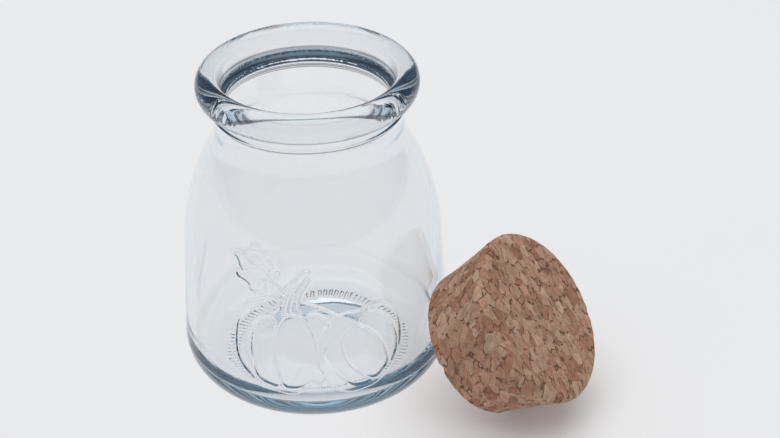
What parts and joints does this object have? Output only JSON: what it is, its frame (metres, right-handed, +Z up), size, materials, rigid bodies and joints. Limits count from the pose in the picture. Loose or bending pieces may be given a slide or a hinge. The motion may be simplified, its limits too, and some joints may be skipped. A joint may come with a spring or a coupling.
{
  "type": "stoppered glass jar",
  "caption": "Clear glass jar with a rolled rim, round shoulder and hollow foot, and its tapered cork stopper lying off, tipped against the wall.",
  "frame": {"origin": "middle of the jar's foot, on the jar's axis, in the plane that the jar stands on", "axes": "+Z up the jar's axis, +X to the right in the picture, where the stopper lies, +Y away from the viewer"},
  "size_m": [0.1091, 0.0823, 0.088],
  "materials": {
    "clear_glass": "clear pressed and blown glass, fire polished",
    "cork": "agglomerated cork granules, matte, dark crevices"
  },
  "bodies": {
    "jar": {"glass_jar": "clear_glass"},
    "stopper": {"cork_stopper": "cork"}
  },
  "joints": [
    {"name": "stopper_lift", "type": "slide", "parent": "jar", "child": "stopper", "axis": [0, 0, 1], "range_m": [0, 0.095]}
  ]
}
